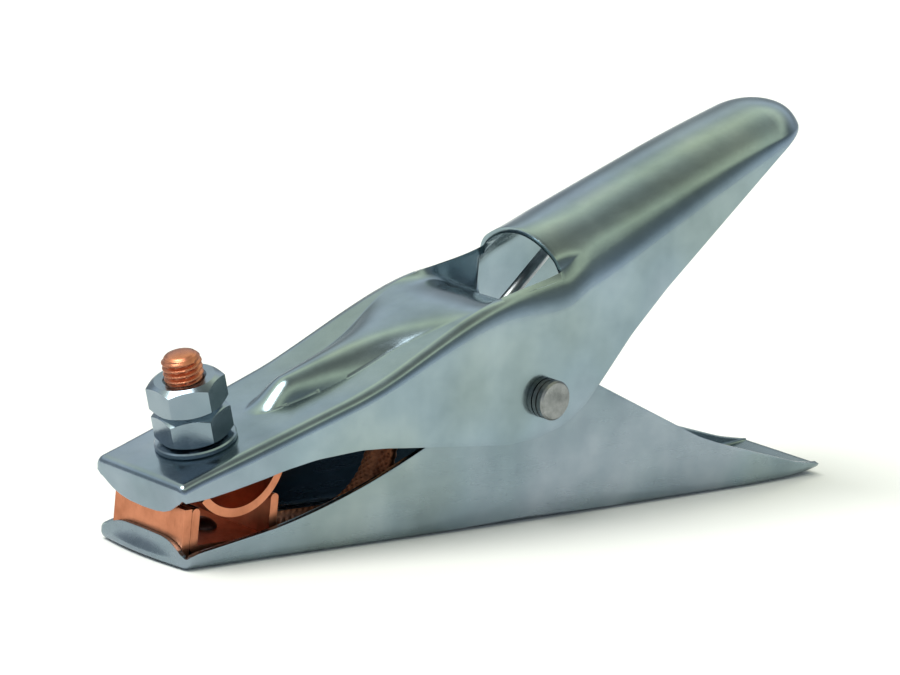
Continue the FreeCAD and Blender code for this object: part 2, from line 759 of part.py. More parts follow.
def make_strap():
    """Flat braided copper strap, from the lower ferrule to the lug under the stud."""
    first, last, centre, radius = strap_path()
    angle = math.radians(dim("deck_angle"))
    up = Vector(-math.sin(angle), 0, math.cos(angle))
    half = dim("strap_height") / 2
    outside, inside = radius + half, radius - half
    rear = Vector(1, 0, 0)
    lift = Vector(0, 0, 1)
    edges = [
        line(first - lift * half, centre - lift * outside),
        arc(centre - lift * outside, centre + rear * outside, centre + up * outside),
        line(centre + up * outside, last + up * half),
        line(last + up * half, last - up * half),
        line(last - up * half, centre + up * inside),
        arc(centre + up * inside, centre + rear * inside, centre - lift * inside),
        line(centre - lift * inside, first + lift * half),
        line(first + lift * half, first - lift * half),
    ]
    shape_part(edges_prism(edges, dim("strap_half")), "braided_strap")


def make_strap_ends():
    """Flattened copper ends of the strap: one under the channel, one under the stud."""
    ferrule = doc.addObject("Part::Box", "ferrule_block")
    bind(
        ferrule,
        Length="dims.ferrule_rear - dims.ferrule_front",
        Width="2 * dims.ferrule_half",
        Height="dims.ferrule_height",
        Placement__Base__x="dims.ferrule_front",
        Placement__Base__y="-dims.ferrule_half",
        Placement__Base__z="dims.sheet_metal",
    )
    hole = cylinder("ferrule_hole", "dims.rivet_dia / 2", "10", "-2")
    bind(hole, Placement__Base__x="dims.rivet_x")
    keep(bored("ferrule", ferrule, hole), "strap_lower_ferrule")
    lug = doc.addObject("Part::Box", "lug_block")
    bind(
        lug,
        Length="dims.lug_rear + dims.lug_front",
        Width="2 * dims.ferrule_half",
        Height="dims.ferrule_height",
        Placement__Base__x="-dims.lug_front",
        Placement__Base__y="-dims.ferrule_half",
        Placement__Base__z="-dims.sheet_metal - dims.ferrule_height",
    )
    eye = cylinder("lug_eye", "dims.stud_dia / 2 + 0.1", "20", "-10")
    keep(bored("lug", lug, eye), "strap_upper_lug", True)


# ---------------------------------------------------------------- closing spring


def heading(degrees):
    """Unit vector in the XZ plane, turned up from +X."""
    return Vector(math.cos(math.radians(degrees)), 0, math.sin(math.radians(degrees)))


def make_spring():
    """Torsion spring round the sleeve: a close coil with one leg under each lever.

    The wire runs up the lower leg, clockwise round the sleeve as seen from the near
    side while it moves to the far side, and out along the upper leg.
    """
    wire, coil, pitch = dim("wire_dia") / 2, dim("coil_radius"), dim("coil_pitch")
    lower, upper = dim("lower_leg_angle"), dim("upper_leg_angle")
    first, last = 270 - lower, 90 + upper
    turns = dim("coil_turns") + (first - last) / 360
    start_y = dim("coil_shift") - turns * pitch / 2
    helix = Part.makeHelix(pitch, turns * pitch, coil)
    tangent = Vector(0, 2 * math.pi * coil, pitch)
    profile = Part.Wire(Part.makeCircle(wire, Vector(coil, 0, 0), tangent))
    body = Part.Wire(helix.Edges).makePipeShell([profile], True, True)
    body.Placement = Placement(
        Vector(dim("pivot_x"), start_y, dim("pivot_z")),
        Rotation(Vector(0, 1, 0), -first) * Rotation(Vector(1, 0, 0), -90),
    )
    axis = point(dim("pivot_x"), dim("pivot_z"))
    legs = [
        (first, start_y, -lower, dim("lower_leg")),
        (last, start_y + turns * pitch, upper, dim("upper_leg")),
    ]
    for angle, y, pointing, length in legs:
        start = axis + heading(angle) * coil + Vector(0, y, 0)
        knuckle = Part.makeSphere(wire * dim("knuckle_ratio"), start)
        body = body.fuse(knuckle).fuse(Part.makeCylinder(wire, length, start, heading(pointing)))
    shape_part(body, "closing_spring")


# ---------------------------------------------------------------- build, check, export

make_lower_lever()
make_upper_lever()
make_pivot()
make_stud()
make_upper_contact()
make_lower_contact()
make_front_plate()
make_rivet()
make_strap_ends()
make_strap()
make_spring()
doc.recompute()

for thing in doc.Objects:
    if {"Invalid", "Error"} & set(thing.State):
        raise RuntimeError(f"{thing.Name} failed: {thing.State}")
for part in SUB_PARTS:
    if part.Shape.isNull() or not part.Shape.isValid() or len(part.Shape.Solids) != 1:
        raise RuntimeError(f"{part.Label} is not one valid solid")

os.makedirs("parts", exist_ok=True)
for part in SUB_PARTS:
    part.Shape.exportStep(f"parts/{part.Label}.step")
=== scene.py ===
import json
import math

import bmesh
import bpy
from mathutils import Matrix, Vector


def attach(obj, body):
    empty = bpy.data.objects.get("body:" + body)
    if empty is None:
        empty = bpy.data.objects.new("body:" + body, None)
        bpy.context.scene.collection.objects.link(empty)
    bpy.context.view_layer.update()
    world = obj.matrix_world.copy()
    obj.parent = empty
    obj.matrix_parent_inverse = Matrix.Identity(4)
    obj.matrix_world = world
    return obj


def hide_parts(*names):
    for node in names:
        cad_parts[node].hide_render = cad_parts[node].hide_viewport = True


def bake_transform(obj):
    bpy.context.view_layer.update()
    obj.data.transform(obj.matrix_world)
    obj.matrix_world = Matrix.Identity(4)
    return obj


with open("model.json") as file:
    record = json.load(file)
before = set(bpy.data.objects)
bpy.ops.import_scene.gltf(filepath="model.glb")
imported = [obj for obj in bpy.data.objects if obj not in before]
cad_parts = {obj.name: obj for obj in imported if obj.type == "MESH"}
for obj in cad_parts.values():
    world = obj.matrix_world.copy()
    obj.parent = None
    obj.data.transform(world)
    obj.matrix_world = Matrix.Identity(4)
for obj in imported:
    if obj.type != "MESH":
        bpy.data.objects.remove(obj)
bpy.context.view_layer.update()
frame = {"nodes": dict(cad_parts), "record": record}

# Lengths are worked out in millimetres from the front face of the lower lever,
# then turned into metres in the clamp's own frame.
MIDDLE = 112.6
PIVOT_X, PIVOT_Z = 114.0, 33.5
SHEET = 1.5
SLOPE = math.radians(18.5)


def place(x, y, z):
    """A point in millimetres, as a point of the clamp's frame in metres."""
    return ((x - MIDDLE) / 1000, y / 1000, z / 1000)


def ease(value, start, end):
    """Smooth 0 to 1 step of value between start and end."""
    t = min(1.0, max(0.0, (value - start) / (end - start)))
    return t * t * (3 - 2 * t)


def along(value, knots):
    """Piecewise linear value through (position, value) knots."""
    for (x0, y0), (x1, y1) in zip(knots, knots[1:]):
        if value <= x1:
            return y0 + max(0.0, (value - x0) / (x1 - x0)) * (y1 - y0)
    return knots[-1][1]


def rounded(value, knots, reach):
    """Piecewise linear value with its corners rounded over reach on each side."""
    taps, middle_weight = 9, 1.02
    offsets = [reach * (2 * i / (taps - 1) - 1) for i in range(taps)]
    weights = [middle_weight - abs(offset) / reach for offset in offsets]
    total = sum(weight * along(value + offset, knots) for weight, offset in zip(weights, offsets))
    return total / sum(weights)


def half_width(x, knots):
    """Half of a lever's width at x, its corners rounded towards the inside only."""
    return min(rounded(x, knots, 6), along(x, knots) + 0.001)


# ---------------------------------------------------------------- materials

# Sockets of a Mix node that mixes colours.
MIX_FACTOR, MIX_FIRST, MIX_SECOND, MIX_RESULT = 0, 6, 7, 2


def colour_ramp(tree, factor, stops):
    """Colour that runs through (position, colour) stops as factor goes from 0 to 1."""
    node = tree.nodes.new("ShaderNodeValToRGB")
    elements = node.color_ramp.elements
    while len(elements) < len(stops):
        elements.new(0.5)
    for element, (position, colour) in zip(elements, stops):
        element.position = position
        element.color = (*colour, 1)
    tree.links.new(factor, node.inputs["Fac"])
    return node.outputs["Color"]


class Paint:
    """A node material built up step by step on the object's own coordinates."""

    def __init__(self, name):
        self.material = bpy.data.materials.new(name)
        self.material.use_nodes = True
        self.tree = self.material.node_tree
        self.tree.nodes.clear()
        surface = self.tree.nodes.new("ShaderNodeOutputMaterial").inputs["Surface"]
        self.shader = self.tree.nodes.new("ShaderNodeBsdfPrincipled")
        self.tree.links.new(self.shader.outputs["BSDF"], surface)
        self.coordinates = self.tree.nodes.new("ShaderNodeTexCoord").outputs["Object"]

    def feed(self, socket, value):
        """Gives a socket another node's output, a colour or a number."""
        if hasattr(value, "node"):
            self.tree.links.new(value, socket)
        elif isinstance(value, tuple):
            socket.default_value = (*value, 1)
        else:
            socket.default_value = value

    def stretched(self, scale, turn=(0, 0, 0)):
        mapping = self.tree.nodes.new("ShaderNodeMapping")
        mapping.inputs["Scale"].default_value = scale
        mapping.inputs["Rotation"].default_value = turn
        self.tree.links.new(self.coordinates, mapping.inputs["Vector"])
        return mapping.outputs["Vector"]

    def noise(self, scale, detail=3.0, rough=0.5, vector=None):
        node = self.tree.nodes.new("ShaderNodeTexNoise")
        node.inputs["Scale"].default_value = scale
        node.inputs["Detail"].default_value = detail
        node.inputs["Roughness"].default_value = rough
        self.tree.links.new(vector or self.coordinates, node.inputs["Vector"])
        return node.outputs["Fac"]

    def ramp(self, factor, stops):
        return colour_ramp(self.tree, factor, stops)

    def levels(self, factor, low, high, out_low, out_high):
        node = self.tree.nodes.new("ShaderNodeMapRange")
        ends = {"From Min": low, "From Max": high, "To Min": out_low, "To Max": out_high}
        for socket, value in ends.items():
            node.inputs[socket].default_value = value
        self.tree.links.new(factor, node.inputs["Value"])
        return node.outputs["Result"]

    def mixed(self, factor, first, second, kind="MIX"):
        node = self.tree.nodes.new("ShaderNodeMix")
        node.data_type = "RGBA"
        node.blend_type = kind
        self.feed(node.inputs[MIX_FACTOR], factor)
        self.feed(node.inputs[MIX_FIRST], first)
        self.feed(node.inputs[MIX_SECOND], second)
        return node.outputs[MIX_RESULT]

    def math(self, operation, first, second):
        node = self.tree.nodes.new("ShaderNodeMath")
        node.operation = operation
        for socket, value in zip(node.inputs, (first, second)):
            self.feed(socket, value)
        return node.outputs["Value"]

    def bump(self, height, strength, distance):
        node = self.tree.nodes.new("ShaderNodeBump")
        node.inputs["Strength"].default_value = strength
        node.inputs["Distance"].default_value = distance
        self.tree.links.new(height, node.inputs["Height"])
        self.tree.links.new(node.outputs["Normal"], self.shader.inputs["Normal"])

    def finish(self, colour, roughness, metallic=1.0):
        self.shader.inputs["Metallic"].default_value = metallic
        self.feed(self.shader.inputs["Base Color"], colour)
        self.feed(self.shader.inputs["Roughness"], roughness)
        return self.material


def zinc(name, dark, mid, light, rough_low, rough_high):
    """Bright zinc plate: cool grey with lilac and yellow-green drifts, fine scuffs and specks."""
    paint = Paint(name)
    cloud = paint.noise(38, 4, 0.55)
    base = paint.ramp(cloud, [(0.28, dark), (0.5, mid), (0.72, light)])
    drift = paint.noise(21, 2, 0.5, paint.stretched((1, 1.3, 0.8)))
    yellow_green, blue, lilac = (0.87, 0.9, 0.76), (0.76, 0.87, 0.95), (0.84, 0.81, 0.97)
    tint = paint.ramp(drift, [(0.36, yellow_green), (0.5, blue), (0.64, lilac)])
    colour = paint.mixed(0.38, base, tint, "MULTIPLY")
    speck = paint.noise(1500, 2, 0.6)
    spots = paint.levels(speck, 0.6, 0.74, 0, 0.24)
    speck_grey = (0.2, 0.23, 0.25)
    colour = paint.mixed(spots, colour, speck_grey)
    scuff = paint.noise(260, 5, 0.65, paint.stretched((0.14, 1, 1), (0, -SLOPE, 0)))
    roughness = paint.levels(scuff, 0.3, 0.72, rough_low, rough_high)
    grain = paint.math("ADD", paint.noise(900, 3, 0.6), paint.math("MULTIPLY", scuff, 0.8))
    paint.bump(grain, 0.1, 0.00008)
    return paint.finish(colour, roughness)


def copper(name, bright, deep, rough_low, rough_high, streak):
    """Rolled copper: warm, duller in clouds, with fine scratches along one direction."""
    paint = Paint(name)
    cloud = paint.noise(85, 4, 0.6)
    base = paint.ramp(cloud, [(0.3, deep), (0.62, bright)])
    scratch = paint.noise(900, 4, 0.7, paint.stretched(streak))
    scratch_brown = (0.36, 0.13, 0.06)
    colour = paint.mixed(paint.levels(scratch, 0.56, 0.7, 0, 0.3), base, scratch_brown)
    paint.bump(scratch, 0.22, 0.0001)
    return paint.finish(colour, paint.levels(scratch, 0.3, 0.7, rough_low, rough_high))


def plain_metal(name, dark, light, rough_low, rough_high):
    """Bare steel: cloudy grey with fine scratches along the clamp."""
    paint = Paint(name)
    colour = paint.ramp(paint.noise(220, 4, 0.6), [(0.3, dark), (0.68, light)])
    scratch = paint.noise(700, 4, 0.7, paint.stretched((0.3, 1, 1)))
    paint.bump(scratch, 0.2, 0.0001)
    return paint.finish(colour, paint.levels(scratch, 0.3, 0.7, rough_low, rough_high))


# Each finish: its kind, name, colours from dark to light (copper: bright, then deep), and the
# ends of its roughness. Copper ends with how far its scratches are stretched along x, y and z.
FINISHES = [
    (zinc, "zinc_sheet", (0.20, 0.26, 0.29), (0.28, 0.35, 0.39), (0.36, 0.43, 0.47), 0.15, 0.26),
    (zinc, "zinc_fastener", (0.21, 0.27, 0.31), (0.28, 0.34, 0.38), (0.35, 0.42, 0.46), 0.16, 0.27),
    (plain_metal, "bare_steel", (0.13, 0.14, 0.14), (0.30, 0.31, 0.31), 0.24, 0.46),
    (plain_metal, "spring_steel", (0.24, 0.26, 0.28), (0.42, 0.45, 0.48), 0.25, 0.4),
    # Painted reflection: dark_steel is near black because the dark surroundings the steel mirrors
    # are laid into its colour.
    (plain_metal, "dark_steel", (0.05, 0.04, 0.04), (0.16, 0.13, 0.12), 0.35, 0.55),
    (copper, "copper_plate", (0.60, 0.24, 0.14), (0.38, 0.13, 0.07), 0.22, 0.4, (1, 1, 1)),
    (copper, "copper", (0.64, 0.25, 0.14), (0.40, 0.14, 0.07), 0.28, 0.46, (1, 1, 0.16)),
    # Painted shade: copper_braid runs down to a near-black brown that stands in for the shadowed
    # inside of the jaw. Cloud noise mixes it with the braid's own copper.
    (copper, "copper_braid", (0.50, 0.20, 0.10), (0.14, 0.05, 0.03), 0.34, 0.54, (1, 1, 1)),
    (zinc, "dull_zinc", (0.18, 0.23, 0.26), (0.25, 0.31, 0.34), (0.33, 0.39, 0.42), 0.2, 0.32),
]
MATERIALS = {name: kind(name, *values) for kind, name, *values in FINISHES}


# ---------------------------------------------------------------- mesh helpers


def new_mesh(name, vertices, faces, slot, smooth_angle=38):
    """A smooth piece with the finish of slot; edges that turn by more than the angle stay sharp."""
    mesh = bpy.data.meshes.new(name)
    mesh.from_pydata(vertices, [], faces)
    mesh.validate()
    mesh.update()
    thing = bpy.data.objects.new(name, mesh)
    bpy.context.scene.collection.objects.link(thing)
    thing.data.materials.append(MATERIALS[slot])
    mesh.shade_smooth()
    mesh.set_sharp_from_angle(angle=math.radians(smooth_angle))
    return thing


def apply_modifiers(thing):
    """Makes the result of a piece's modifiers its own mesh."""
    evaluated = thing.evaluated_get(bpy.context.evaluated_depsgraph_get())
    mesh = bpy.data.meshes.new_from_object(evaluated)
    thing.modifiers.clear()
    thing.data = mesh


EDGE_RADIUS = 0.22


def soften_edges(thing, segments, degrees):
    """Rounds the edges that turn by more than degrees."""
    soft = thing.modifiers.new("edges", "BEVEL")
    soft.width = EDGE_RADIUS / 1000
    soft.segments = segments
    soft.limit_method = "ANGLE"
    soft.angle_limit = math.radians(degrees)


def pressed_sheet(thing):
    """Gives a single skin its thickness towards the inside and softens the cut edges."""
    solid = thing.modifiers.new("thickness", "SOLIDIFY")
    solid.thickness = SHEET / 1000
    solid.offset = -1
    solid.use_even_offset = True
    soften_edges(thing, 2, 55)
    apply_modifiers(thing)
    thing.data.shade_smooth()
    thing.data.set_sharp_from_angle(angle=math.radians(48))


def resample(points, count):
    """count points spread evenly along a polyline."""
    lengths = [0.0]
    for a, b in zip(points, points[1:]):
        lengths.append(lengths[-1] + math.dist(a, b))
    result = []
    for i in range(count):
        target = lengths[-1] * i / (count - 1)
        k = 0
        while k < len(points) - 2 and lengths[k + 1] < target:
            k += 1
        span = lengths[k + 1] - lengths[k]
        t = (target - lengths[k]) / span if span > 1e-9 else 0.0
        result.append(tuple(a + t * (b - a) for a, b in zip(points[k], points[k + 1])))
    return result


def tube_faces(rings, around):
    """Faces of a closed tube whose rings of points follow one another."""
    faces = []
    for k in range(rings - 1):
        near, far = k * around, (k + 1) * around
        for i in range(around):
            j = (i + 1) % around
            faces.append([near + i, near + j, far + j, far + i])
    tail = (rings - 1) * around
    faces.append(list(reversed(range(around))))
    faces.append([tail + i for i in range(around)])
    return faces


class Skin:
    """A single sheet of quads whose rows share the points that lie on each other."""

    def __init__(self):
        self.vertices, self.faces, self.seen = [], [], {}

    def index(self, point):
        key = tuple(round(c, 4) for c in point)
        if key not in self.seen:
            self.seen[key] = len(self.vertices)
            self.vertices.append(place(*point))
        return self.seen[key]

    def add(self, rows):
        lines = [[self.index(point) for point in row] for row in rows]
        for a, b in zip(lines, lines[1:]):
            for c in range(len(a) - 1):
                corners = list(dict.fromkeys([a[c], a[c + 1], b[c + 1], b[c]]))
                if len(corners) > 2:
                    self.faces.append(corners)

    def build(self, name, slot, outward):
        """The mesh, turned so that its level faces look along outward."""
        thing = new_mesh(name, self.vertices, self.faces, slot)
        work = bmesh.new()
        work.from_mesh(thing.data)
        bmesh.ops.recalc_face_normals(work, faces=work.faces)
        if sum(f.normal.dot(Vector(outward)) * f.calc_area() for f in work.faces) < 0:
            bmesh.ops.reverse_faces(work, faces=work.faces)
        work.to_mesh(thing.data)
        work.free()
        return thing


SIDE_COLUMNS = 17
FOLD_STEPS = 12
CORNER_TURNS = [i / 12 for i in range(13)]


def fold_profile(width, drop, depth, slope=0.0, drawn=0.0):
    """Offsets outward and downward over a fold and down its flange, to the flange's edge.

    The fold is a quarter ellipse, or, as drawn goes to 1, a curve that starts at slope.
    """
    points = [(0.0, 0.0)]
    for i in range(1, FOLD_STEPS + 1):
        t = i / FOLD_STEPS
        a = t * math.pi / 2
        bent = (width * (2 * t * (1 - t) + t * t), -2 * t * (1 - t) * slope * width + t * t * drop)
        quarter = (width * math.sin(a), drop * (1 - math.cos(a)))
        points.append(tuple(drawn * p + (1 - drawn) * q for p, q in zip(bent, quarter)))
    kept = [points[0]]
    for a, b in zip(points, points[1:]):
        if b[1] >= depth:
            t = (depth - a[1]) / (b[1] - a[1])
            kept.append((a[0] + t * (b[0] - a[0]), depth))
            return resample(kept, SIDE_COLUMNS)
        kept.append(b)
    kept.append((width, depth))
    return resample(kept, SIDE_COLUMNS)


def strip_row(root, out, down, offsets):
    """Points of one fold section standing at root."""
    return [tuple(root[i] + out[i] * o + down[i] * d for i in range(3)) for o, d in offsets]


# ---------------------------------------------------------------- upper lever

UPPER_X, UPPER_Z = -3.3, 21.0
SLIT = 119.8
CROWN_HALF, SAGITTA = 15.2, 6.24
DOME_START, DOME_RADIUS = 198.0, 14.4
BEAD_START, BEAD_RISE = 31.0, 5.0
SCOOP_START, SCOOP_DEPTH = 87.0, 14.2
CROWN_RISE, SHOULDER_RISE, RIM_RISE = 4.7, 5.0, 2.8
HANDLE_HALF, HANDLE_RISE = 16.2, 0.382
UPPER_HALF = [(4, 16.9), (60, 20.0), (130, 20.0), (DOME_START, HANDLE_HALF)]
FRONT_FOLD = 2.4
CORNER_DIP = 1.0
DECK_FRONT = UPPER_X + FRONT_FOLD * math.cos(SLOPE)


def dome(x):
    """Share of the full section that is left at x in the handle's rounded end."""
    reach = max(0.0, x - DOME_START) / DOME_RADIUS
    return math.sqrt(max(0.0, 1 - reach * reach))


def upper_half(x):
    return half_width(x, UPPER_HALF) * dome(x)


def deck_level(x):
    """Height of the deck's plane."""
    return UPPER_Z + math.tan(SLOPE) * (x - UPPER_X)


def shoulder_raise(x):
    """How far the shoulders stand over the deck's plane, falling again to the slit's rim."""
    return SHOULDER_RISE * ease(x, 48, 94) - (SHOULDER_RISE - RIM_RISE) * ease(x, 94, SLIT)


def rim_drop(x):
    """How far the handle's shoulders start below its arch, level with the slit's rim."""
    return (CROWN_RISE - RIM_RISE) * (1 - ease(x, SLIT, SLIT + 8))


def shoulder_level(x):
    """Height of the shoulder line; the handle bows down a little towards its end."""
    if x < SLIT:
        return deck_level(x) + shoulder_raise(x)
    level = deck_level(SLIT) + CROWN_RISE + HANDLE_RISE * (x - SLIT) - rim_drop(x)
    tip_sink, bow, bow_start = 2.0, 0.001, 165
    return level - tip_sink * (1 - dome(x)) - bow * max(0.0, x - bow_start) ** 2


def side_fold(x):
    """Radius of the fold between deck and flange."""
    return FRONT_FOLD + 0.6 * ease(x, 0, 20)


def shoulder_half(x):
    """Distance of the shoulder line from the middle."""
    half = upper_half(x)
    flat = half - side_fold(x)
    if x < SLIT:
        return flat + (CROWN_HALF - flat) * ease(x, 60, SLIT)
    return CROWN_HALF * min(1.0, half / HANDLE_HALF)


def bead_foot(x):
    """Distance of the bead's foot line from the middle."""
    foot = 2.5 * max(0.0, x - BEAD_START) ** 0.35
    return foot + (shoulder_half(x) - foot) * ease(x, 66, 96)


def bead_height(x, y):
    """Raised bead along the deck: a rounded nose, a broad top and tight shoulders."""
    if x <= BEAD_START or x >= SLIT:
        return 0.0
    reach = min(1.0, y / bead_foot(x))
    rise = max(0.0, BEAD_RISE * ease(x, BEAD_START, 42) - shoulder_raise(x))
    squareness = 2.2 + 2 * ease(x, 60, 90)
    return rise * (1 - reach ** squareness)


def arch_squareness(x):
    """Share of the handle's arch that rises by the fourth power, not the second."""
    return 0.35 * ease(x, SLIT + 1, SLIT + 14)


def top_height(x, q, handle):
    """Height of the top above the shoulder line; q is 0 in the middle and 1 at the shoulder."""
    if handle:
        square = arch_squareness(x)
        arch = SAGITTA * (1 - (1 - square) * q ** 2 - square * q ** 4) * dome(x)
        return arch + rim_drop(x) * (1 - q ** 16)
    height = bead_height(x, q * shoulder_half(x))
    if x > SCOOP_START:
        steep = 5 + 15 * ease(x, SCOOP_START + 8, SLIT)
        depth = 2 * SCOOP_DEPTH * ease(x, SCOOP_START, 2 * SLIT - SCOOP_START)
        height -= depth * (1 - q ** steep)
    return height


# The upper lever's lower edge, from the jaw under the deck and up along the handle.
LOWER_EDGE = [
    (-1, 17.3), (5, 17.7), (14, 19.4), (23, 21.4), (29, 22.9), (38, 24.6), (52, 25.8),
    (60, 25.6), (68, 24.9), (102, 22.2), (112, 23.0), (121.5, 25.6), (128.5, 30.2),
    (134, 36.2), (144, 47.6), (156, 58.6), (196, 90.6), (201, 94.3), (205, 96.4),
    (209, 97.9), (213, 98.8),
]


def flange_foot(x):
    """Height of the upper flanges' lower edge."""
    return rounded(x, LOWER_EDGE, 2.5)


def upper_side(x, handle):
    """Fold and flange of one section, as offsets from its shoulder line."""
    ridge, level = shoulder_half(x), shoulder_level(x)
    width = upper_half(x) - ridge
    depth = max(0.05, level - flange_foot(x))
    if handle:
        slope = -(2 + 2 * arch_squareness(x)) * SAGITTA * dome(x) / max(ridge, 0.4)
        widest_fold = 4.8
        drop = 4.0 + 5.0 * width / widest_fold
        return fold_profile(width, drop, depth, slope, 1.0)
    fold = side_fold(x)
    drop = fold + (9.0 - fold) * ease(x, 60, SLIT)
    slope = -2 * SAGITTA / CROWN_HALF * ease(x, 98, SLIT)
    return fold_profile(width, drop, depth, slope, ease(x, 60, 98))


TOP_COLUMNS = 61


def spread(i, x, handle=False):
    """Position of a column across the top, -1 to 1; halfway out it follows the bead's foot."""
    t = 2 * i / (TOP_COLUMNS - 1) - 1
    if handle:
        return 0.5 * t + 0.5 * math.sin(t * math.pi / 2)
    knee = 0.5 - 0.36 * ease(x, 5, BEAD_START)
    if x > BEAD_START:
        knee = min(0.92, max(knee, bead_foot(x) / shoulder_half(x)))
    share = abs(t)
    q = 2 * share * knee if share < 0.5 else knee + (1 - knee) * (2 * share - 1)
    return math.copysign(q, t)


def upper_row(x, handle):
    """One section from the near flange's edge over the top to the far flange's edge."""
    ridge, level = shoulder_half(x), shoulder_level(x)
    side = upper_side(x, handle)
    edge_lean = 0.26 * (1 - ease(x, SLIT, SLIT + 16)) if handle else 0.0
    top = []
    for i in range(TOP_COLUMNS):
        q = spread(i, x, handle)
        rise = top_height(x, abs(q), handle)
        top.append((x - edge_lean * rise, q * ridge, level + rise))
    near = strip_row((x, -ridge, level), (0, -1, 0), (0, 0, -1), side[1:])
    far = strip_row((x, ridge, level), (0, 1, 0), (0, 0, -1), side[1:])
    return near[::-1] + top + far


def lip_edge(y, end, knots):
    """How far a lip reaches at y; next to its end the knots' corners stay sharp."""
    if abs(y) < end - 1.3:
        return rounded(abs(y), knots, 1.2)
    return along(abs(y), knots)


UPPER_LIP = [(0, 9.2), (5, 9.0), (8.3, 8.4), (11, 7.3), (12.6, 6.2), (14.6, 4.7)]


def upper_front_rows():
    """Near corner, front lip and far corner as one strip hanging from the deck's front."""
    ridge, level = shoulder_half(DECK_FRONT), shoulder_level(DECK_FRONT)
    ahead = (-math.cos(SLOPE), 0, -math.sin(SLOPE))
    under = (math.sin(SLOPE), 0, -math.cos(SLOPE))
    side_depth = level - flange_foot(DECK_FRONT)
    lip_depth = along(ridge, UPPER_LIP)

    def corner(turn, side):
        a = math.pi / 2 * turn
        share = math.sin(a) ** 2
        out = (ahead[0] * math.sin(a), side * math.cos(a), ahead[2] * math.sin(a))
        down = (under[0] * share, 0, -1 + (1 + under[2]) * share)
        depth = side_depth + (lip_depth - side_depth) * share - CORNER_DIP * math.sin(2 * a) ** 2
        fold = fold_profile(FRONT_FOLD, FRONT_FOLD, depth)
        return strip_row((DECK_FRONT, side * ridge, level), out, down, fold)

    rows = [corner(turn, -1) for turn in CORNER_TURNS]
    for i in range(1, TOP_COLUMNS - 1):
        y = spread(i, DECK_FRONT) * ridge
        fold = fold_profile(FRONT_FOLD, FRONT_FOLD, lip_edge(y, ridge, UPPER_LIP))
        rows.append(strip_row((DECK_FRONT, y, level), ahead, under, fold))
    return rows + [corner(1 - turn, 1) for turn in CORNER_TURNS]


def build_upper_lever():
    skin = Skin()
    skin.add(upper_front_rows())
    deck = [DECK_FRONT]
    fine, coarse = 0.5, 0.9
    while deck[-1] < SLIT - 1.2:
        deck.append(deck[-1] + (fine if deck[-1] < 8 or deck[-1] > 108 else coarse))
    skin.add([upper_row(x, False) for x in deck + [SLIT]])
    handle = [SLIT + 1.0 * i for i in range(int(DOME_START - SLIT) + 1)] + [DOME_START]
    handle += [DOME_START + DOME_RADIUS * math.sin(math.pi / 2 * i / 16) for i in range(1, 16)]
    handle.append(DOME_START + DOME_RADIUS * 0.9995)
    skin.add([upper_row(x, True) for x in handle])
    thing = skin.build("upper_lever_pressing", "zinc_sheet", (0, 0, 1))
    pressed_sheet(thing)
    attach(thing, "upper_body")
    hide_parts("upper_lever")


# ---------------------------------------------------------------- lower lever

LOWER_LENGTH = 228.0
LOWER_FOLD = 2.2
TIP_RISE, TIP_LENGTH = 1.4, 16
LOWER_HALF = [(25, 16.9), (84, 17.85), (130, 17.85), (200, 16.6), (LOWER_LENGTH, 14.6)]


def lower_half(x):
    return half_width(x, LOWER_HALF)


def lower_floor(x):
    """Height of the floor, which curls up at the rear tip."""
    rise = max(0.0, x - LOWER_LENGTH + TIP_LENGTH) / TIP_LENGTH
    return TIP_RISE * rise * rise


EDGE_START, EDGE_END, EDGE_SAG = (27, 7.6), (76, 24.0), 1.65


def lower_top(x):
    """Top edge of the flanges: low at the jaw, an ear at the pivot, low at the rear."""
    ear = 9.5
    lead, trail = math.radians(28), math.radians(24)
    front = (PIVOT_X - ear * math.sin(lead), PIVOT_Z + ear * math.cos(lead))
    rear = (PIVOT_X + ear * math.sin(trail), PIVOT_Z + ear * math.cos(trail))
    if front[0] < x < rear[0]:
        return PIVOT_Z + math.sqrt(ear ** 2 - (x - PIVOT_X) ** 2)
    knee = rear[1] - (168 - rear[0]) * math.tan(trail)
    knots = [(0, 3.0), (4, 4.2), EDGE_START, EDGE_END, front, rear, (168, knee)]
    knots += [(176, 16.3), (186, 13.1), (LOWER_LENGTH - 9, 4.3), (LOWER_LENGTH, TIP_RISE + SHEET)]
    reach = (2 * x - EDGE_START[0] - EDGE_END[0]) / (EDGE_END[0] - EDGE_START[0])
    sag = EDGE_SAG * max(0.0, 1 - reach * reach)
    if abs(x - PIVOT_X) < 12 or x < 8 or x > LOWER_LENGTH - 4 or sag:
        return along(x, knots) - sag
    return rounded(x, knots, 4)


FLOOR_COLUMNS = 33
FLOOR_SPREAD = [2 * i / (FLOOR_COLUMNS - 1) - 1 for i in range(FLOOR_COLUMNS)]


def lower_row(x):
    """One section from the near flange's edge under the floor to the far flange's edge."""
    half, floor = lower_half(x), lower_floor(x)
    inner = half - LOWER_FOLD
    depth = max(lower_top(x) - floor, LOWER_FOLD * 0.6)
    side = fold_profile(LOWER_FOLD, LOWER_FOLD, depth)
    base = [(x, inner * across, floor) for across in FLOOR_SPREAD]
    near = strip_row((x, -inner, floor), (0, -1, 0), (0, 0, 1), side[1:])
    far = strip_row((x, inner, floor), (0, 1, 0), (0, 0, 1), side[1:])
    return near[::-1] + base + far


LOWER_LIP = [(0, 6.8), (7, 6.7), (9.4, 6.35), (11.1, 5.8), (13, 4.8), (14.7, 3.8)]
LIP_BOW = 2.3
LOWER_CORNER_DIP = 0.75


